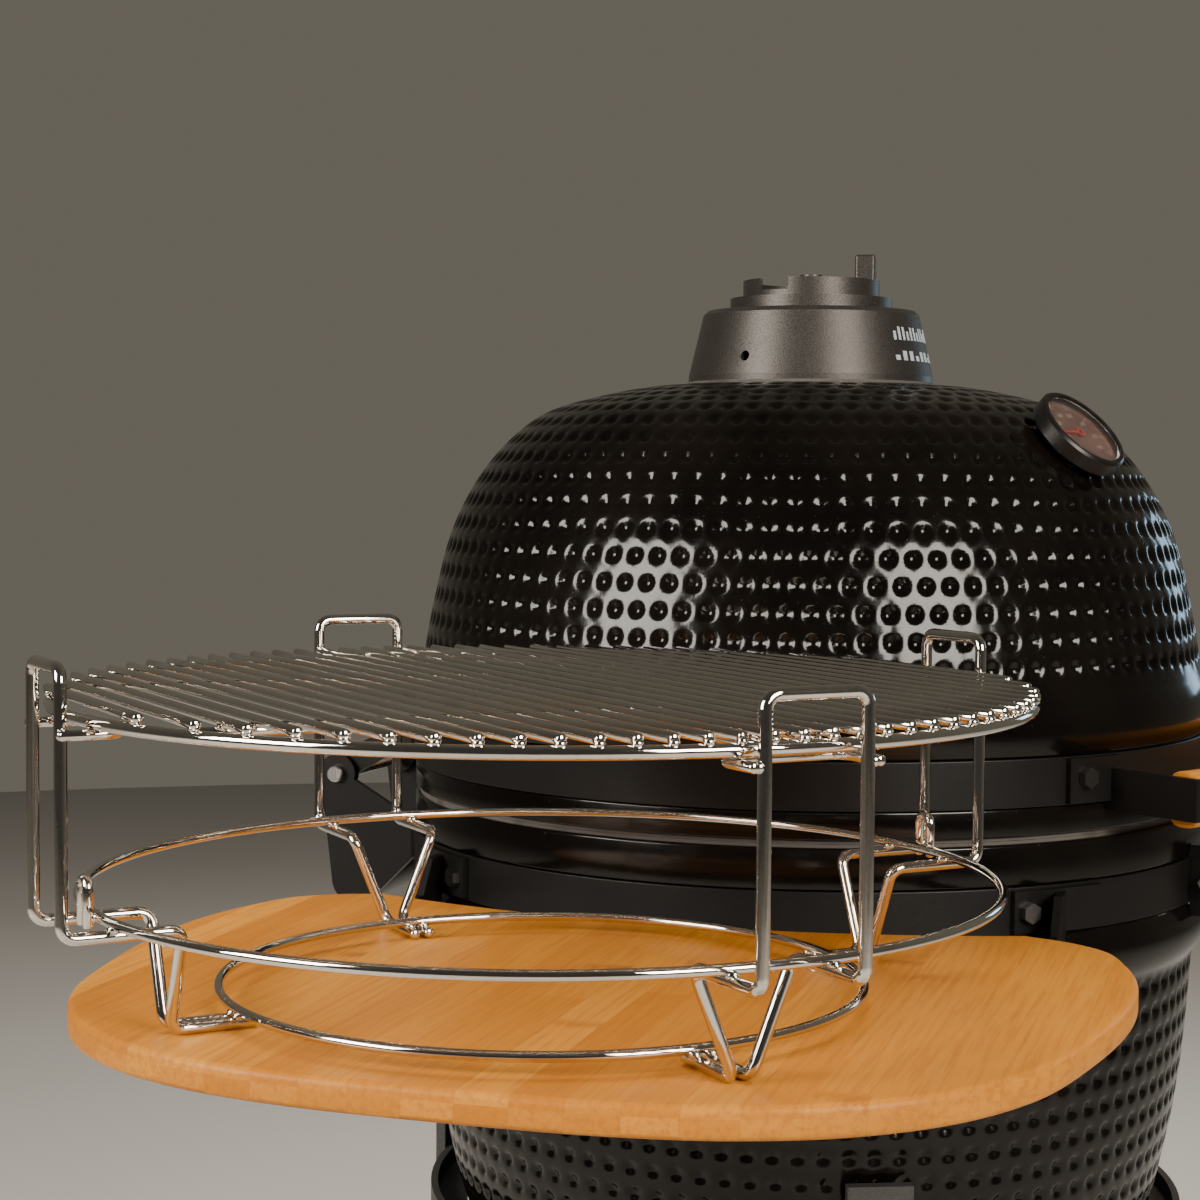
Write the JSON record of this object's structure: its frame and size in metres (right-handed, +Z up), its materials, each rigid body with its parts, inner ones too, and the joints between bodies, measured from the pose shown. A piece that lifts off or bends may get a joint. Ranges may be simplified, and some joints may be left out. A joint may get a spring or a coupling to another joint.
{
  "type": "kamado ceramic grill",
  "caption": "Egg-shaped black ceramic charcoal grill on a wheeled steel cart, with fold-down bamboo side shelves and a wire cooking rack.",
  "frame": {"origin": "on the floor, under the vertical axis of the ceramic body", "axes": "+Z up; front with the handle, thermometer and draft door towards -Y; the shelf with the rack towards -X"},
  "size_m": [1.5063, 0.695, 1.1725],
  "materials": {
    "black_glaze": "glossy",
    "fired_clay": "matte",
    "black_steel": "satin",
    "cart_steel": "matte",
    "felt": "matte",
    "cast_iron": "rough",
    "vent_cast": "satin",
    "stainless": "brushed",
    "bolt_steel": "satin",
    "polished_wire": "polished",
    "bamboo": "satin",
    "gauge_rim": "satin",
    "dial_face": "satin",
    "needle_red": "satin",
    "clear_glass": "polished",
    "zinc_steel": "zinc",
    "wheel_rubber": "matte"
  },
  "bodies": {
    "base": {"band_clamp_bolt": "bolt_steel", "band_lugs": "black_steel", "base_bolts": "bolt_steel", "base_bowl": "black_glaze", "base_gasket": "felt", "cart_bolts": "bolt_steel", "cart_ring": "cart_steel", "cart_uprights": "cart_steel", "caster_plates": "zinc_steel", "charcoal_grate": "cast_iron", "cradle_base": "cart_steel", "cradle_ring": "cart_steel", "draft_frame": "stainless", "draft_mesh": "stainless", "fire_box": "fired_clay", "fire_ring": "fired_clay", "hinge_base": "black_steel", "hinge_pin": "stainless", "hinge_spring_barrel": "black_steel", "lower_band": "black_steel", "shelf_brackets_left": "black_steel", "shelf_brackets_right": "black_steel", "shelf_pins": "bolt_steel"},
    "lid": {"lid_dome": "black_glaze", "upper_band": "black_steel", "lid_gasket": "felt", "hinge_lid": "black_steel", "handle_grip": "bamboo", "handle_brackets": "black_steel", "lid_bolts": "bolt_steel", "vent_gasket": "felt", "vent_tower": "vent_cast", "vent_nut": "vent_cast", "thermometer_stem": "stainless", "thermometer_bezel": "gauge_rim", "thermometer_dial": "dial_face", "thermometer_lens": "clear_glass"},
    "vent_rotor": {"vent_cap": "vent_cast"},
    "needle": {"thermometer_needle": "needle_red"},
    "draft_slider": {"draft_door": "stainless"},
    "left_shelf": {"shelf_left": "bamboo", "shelf_arms_left": "black_steel"},
    "right_shelf": {"shelf_right": "bamboo", "shelf_arms_right": "black_steel"},
    "rack": {"rack_base_ring": "polished_wire", "rack_mid_ring": "polished_wire", "rack_frames": "polished_wire", "rack_hooks": "polished_wire", "rack_posts": "polished_wire"},
    "grate": {"grate_ring": "polished_wire", "grate_bars": "polished_wire", "grate_cross_wires": "polished_wire"},
    "swivel_1": {"caster_fork_1": "zinc_steel"},
    "wheel_1": {"caster_wheel_1": "wheel_rubber"},
    "swivel_2": {"caster_fork_2": "zinc_steel"},
    "wheel_2": {"caster_wheel_2": "wheel_rubber"},
    "swivel_3": {"caster_fork_3": "zinc_steel"},
    "wheel_3": {"caster_wheel_3": "wheel_rubber"},
    "swivel_4": {"caster_fork_4": "zinc_steel"},
    "wheel_4": {"caster_wheel_4": "wheel_rubber"}
  },
  "joints": [
    {"name": "lid_hinge", "type": "hinge", "parent": "base", "child": "lid", "pos_m": [0, 0.335, 0.798], "axis": [-1, 0, 0], "range_deg": [0, 75]},
    {"name": "vent_turn", "type": "hinge", "parent": "lid", "child": "vent_rotor", "pos_m": [0, 0, 1.145], "axis": [0, 0, 1], "range_deg": [0, 45]},
    {"name": "needle_turn", "type": "hinge", "parent": "lid", "child": "needle", "pos_m": [-0.0967, -0.19825, 1.04632], "axis": [-0.3164, -0.6487, 0.6921], "range_deg": [-250, 0]},
    {"name": "draft_slide", "type": "slide", "parent": "base", "child": "draft_slider", "axis": [1, 0, 0], "range_m": [0, 0.09]},
    {"name": "left_shelf_fold", "type": "hinge", "parent": "base", "child": "left_shelf", "pos_m": [-0.315, 0, 0.7375], "axis": [0, -1, 0], "range_deg": [0, 90]},
    {"name": "right_shelf_fold", "type": "hinge", "parent": "base", "child": "right_shelf", "pos_m": [0.315, 0, 0.7375], "axis": [0, 1, 0], "range_deg": [0, 90]},
    {"name": "rack_lift", "type": "slide", "parent": "left_shelf", "child": "rack", "axis": [0, 0, 1], "range_m": [0, 0.25]},
    {"name": "grate_lift", "type": "slide", "parent": "rack", "child": "grate", "axis": [0, 0, 1], "range_m": [0, 0.15]},
    {"name": "swivel_1_turn", "type": "hinge", "parent": "base", "child": "swivel_1", "pos_m": [0.17678, 0.17678, 0.085], "axis": [0, 0, 1], "continuous": true},
    {"name": "wheel_1_roll", "type": "hinge", "parent": "swivel_1", "child": "wheel_1", "pos_m": [0.17678, 0.20078, 0.035], "axis": [1, 0, 0], "continuous": true},
    {"name": "swivel_2_turn", "type": "hinge", "parent": "base", "child": "swivel_2", "pos_m": [-0.17678, 0.17678, 0.085], "axis": [0, 0, 1], "continuous": true},
    {"name": "wheel_2_roll", "type": "hinge", "parent": "swivel_2", "child": "wheel_2", "pos_m": [-0.17678, 0.20078, 0.035], "axis": [1, 0, 0], "continuous": true},
    {"name": "swivel_3_turn", "type": "hinge", "parent": "base", "child": "swivel_3", "pos_m": [-0.17678, -0.17678, 0.085], "axis": [0, 0, 1], "continuous": true},
    {"name": "wheel_3_roll", "type": "hinge", "parent": "swivel_3", "child": "wheel_3", "pos_m": [-0.17678, -0.15278, 0.035], "axis": [1, 0, 0], "continuous": true},
    {"name": "swivel_4_turn", "type": "hinge", "parent": "base", "child": "swivel_4", "pos_m": [0.17678, -0.17678, 0.085], "axis": [0, 0, 1], "continuous": true},
    {"name": "wheel_4_roll", "type": "hinge", "parent": "swivel_4", "child": "wheel_4", "pos_m": [0.17678, -0.15278, 0.035], "axis": [1, 0, 0], "continuous": true}
  ]
}
